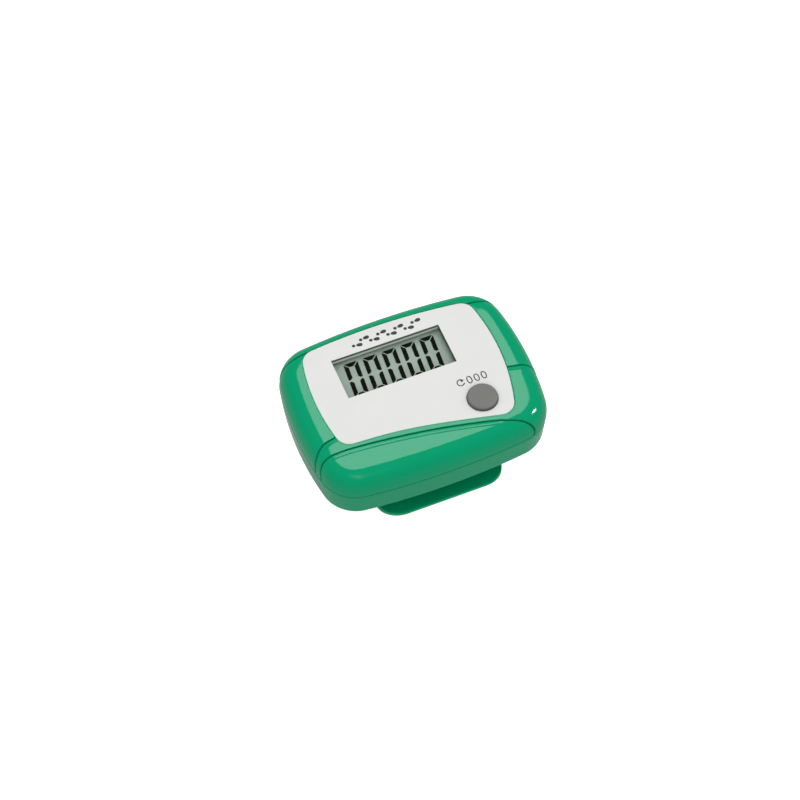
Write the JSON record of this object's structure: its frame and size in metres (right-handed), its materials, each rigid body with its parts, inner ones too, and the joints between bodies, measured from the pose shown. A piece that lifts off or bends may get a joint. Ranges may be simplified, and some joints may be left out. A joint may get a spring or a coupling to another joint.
{
  "type": "clip-on step counter",
  "caption": "Pocket-size step counter with a rounded green case, pale front plate, digit display, round reset button and a sprung belt clip behind it.",
  "frame": {"origin": "under the middle of the body, on the plane that the clip's flat plate rests on", "axes": "+X across the display to the right, +Y towards the display's upper edge, +Z out of the face"},
  "size_m": [0.05, 0.0376, 0.0186],
  "materials": {
    "green_plastic": "high gloss moulded",
    "plate_print": "satin printed sheet",
    "adhesive": "adhesive film",
    "button_plastic": "satin moulded",
    "silicone": "silicone rubber",
    "carbon": "conductive rubber",
    "gold_plate": "gold-plated strip",
    "film": "polarising film",
    "display_glass": "clear glass",
    "seal_resin": "cured resin",
    "segment_black": "dark display segments",
    "reflector_film": "diffuse reflector",
    "white_plastic": "moulded",
    "zebra_rubber": "layered conductive rubber",
    "board_laminate": "solder mask",
    "steel": "bright",
    "chip_resin": "potting resin",
    "ceramic": "ceramic chips",
    "cell_steel": "nickel-plated can",
    "arm_plastic": "moulded"
  },
  "bodies": {
    "case": {"front_case": "green_plastic", "back_case": "green_plastic", "face_plate": "plate_print", "plate_adhesive": "adhesive", "rubber_key": "silicone", "key_contacts": "gold_plate", "lcd_polarizer": "film", "lcd_front_glass": "display_glass", "lcd_seal": "seal_resin", "lcd_segments": "segment_black", "lcd_rear_glass": "display_glass", "lcd_reflector": "reflector_film", "lcd_frame": "white_plastic", "zebra_strip": "zebra_rubber", "circuit_board": "board_laminate", "board_screws": "steel", "chip_blob": "chip_resin", "crystal": "steel", "chip_parts": "ceramic", "button_cell": "cell_steel", "cell_contact_plus": "gold_plate", "cell_contact_minus": "gold_plate", "pendulum_pin": "steel", "pin_retainer": "steel", "pendulum_spring": "steel", "spring_post": "steel", "stop_posts": "steel", "stop_sleeves": "silicone", "contact_wire": "gold_plate", "case_screws": "steel", "clip_spring": "steel"},
    "button": {"reset_button": "button_plastic", "carbon_pill": "carbon"},
    "clip": {"belt_clip": "green_plastic", "clip_pin": "steel"},
    "door": {"battery_door": "green_plastic"},
    "pendulum": {"pendulum_arm": "arm_plastic", "pendulum_weight": "steel"}
  },
  "joints": [
    {"name": "reset_press", "type": "slide", "parent": "case", "child": "button", "axis": [0, 0, -1], "range_m": [0, 0.0007], "stiffness_N_per_m": 1000, "springref_m": -0.0003, "deforming": ["rubber_key"]},
    {"name": "clip_open", "type": "hinge", "parent": "case", "child": "clip", "pos_m": [0, 0.0082, 0.0041], "axis": [1, 0, 0], "range_deg": [0, 20], "stiffness_Nm_per_rad": 0.02, "springref_deg": -45.84, "deforming": ["clip_spring"]},
    {"name": "battery_door_slide", "type": "slide", "parent": "case", "child": "door", "axis": [0, -1, 0], "range_m": [0, 0.003]},
    {"name": "pendulum_swing", "type": "hinge", "parent": "case", "child": "pendulum", "pos_m": [0.018, -0.0018, 0.0106], "axis": [0, 0, 1], "range_deg": [-7, 7], "stiffness_Nm_per_rad": 0.0012, "deforming": ["pendulum_spring"]}
  ]
}
